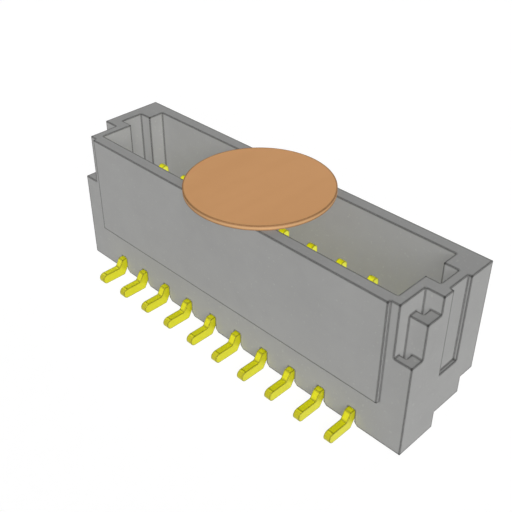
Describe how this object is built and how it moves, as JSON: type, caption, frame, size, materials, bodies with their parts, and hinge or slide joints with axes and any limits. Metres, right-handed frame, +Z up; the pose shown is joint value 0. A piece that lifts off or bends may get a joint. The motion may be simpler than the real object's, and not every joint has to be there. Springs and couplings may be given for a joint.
{
  "type": "pin header",
  "caption": "Shrouded surface-mount wire-to-board pin header: open plug cavity, stamped contacts with solder feet along one side, and a round pick-up tape on the rim.",
  "frame": {"origin": "centre of the housing's underside, which the solder feet reach 0.05 mm below", "axes": "+X along the row of contacts, -Y towards the solder feet, +Z up out of the plug cavity"},
  "size_m": [0.012, 0.0042, 0.0044],
  "materials": {
    "housing_plastic": "fine moulded satin, mid grey",
    "contact_metal": "bright yellow flash plating over a stamped blank",
    "tape_film": "amber heat-proof film, semi-matt"
  },
  "bodies": {
    "root": {"housing": "housing_plastic", "contact_01": "contact_metal", "contact_02": "contact_metal", "contact_03": "contact_metal", "contact_04": "contact_metal", "contact_05": "contact_metal", "contact_06": "contact_metal", "contact_07": "contact_metal", "contact_08": "contact_metal", "contact_09": "contact_metal", "contact_10": "contact_metal", "pickup_tape": "tape_film"}
  },
  "joints": []
}
